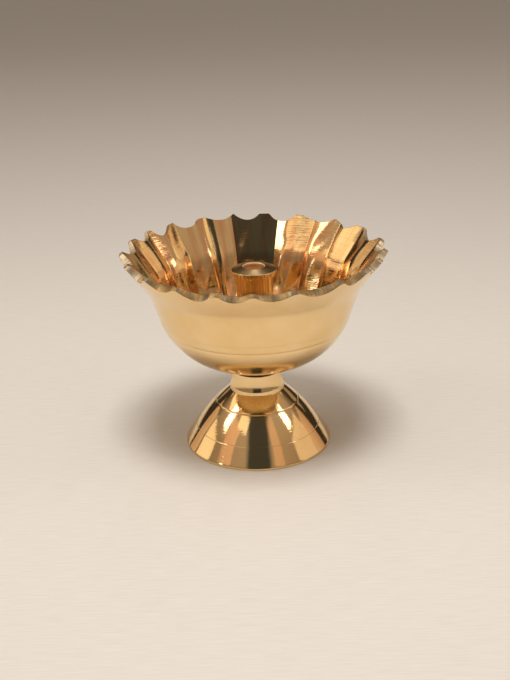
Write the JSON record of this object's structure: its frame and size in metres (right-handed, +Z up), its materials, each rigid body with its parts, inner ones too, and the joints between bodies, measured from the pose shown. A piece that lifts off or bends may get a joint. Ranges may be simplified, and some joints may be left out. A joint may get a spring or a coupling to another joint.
{
  "type": "butter lamp",
  "caption": "Small footed brass lamp: a fluted bowl with a petal-cut lip on a flared foot, clamped by a flanged wick holder whose screwed shank goes through the bowl into the neck.",
  "frame": {"origin": "centre of the foot's bottom face, on the surface that the lamp stands on", "axes": "+Z up along the turning axis, -Y towards the front of the picture"},
  "size_m": [0.064, 0.0639, 0.0509],
  "materials": {
    "foot_brass": "turned and mirror polished",
    "bowl_brass": "satin outside, polished flutes inside, filed edge",
    "holder_brass": "turned"
  },
  "bodies": {
    "foot": {"foot": "foot_brass"},
    "bowl": {"bowl": "bowl_brass"},
    "wick_holder": {"wick_holder": "holder_brass"}
  },
  "joints": [
    {"name": "bowl_lift", "type": "slide", "parent": "foot", "child": "bowl", "axis": [0, 0, 1], "range_m": [0, 0.007]},
    {"name": "wick_holder_turn", "type": "hinge", "parent": "bowl", "child": "wick_holder", "pos_m": [0, 0, 0.0225], "axis": [0, 0, 1], "range_deg": [0, 2520]}
  ],
  "couplings": [
    {"joint": "wick_holder_turn", "follows": "bowl_lift", "rad_per_m": 6283.2}
  ]
}
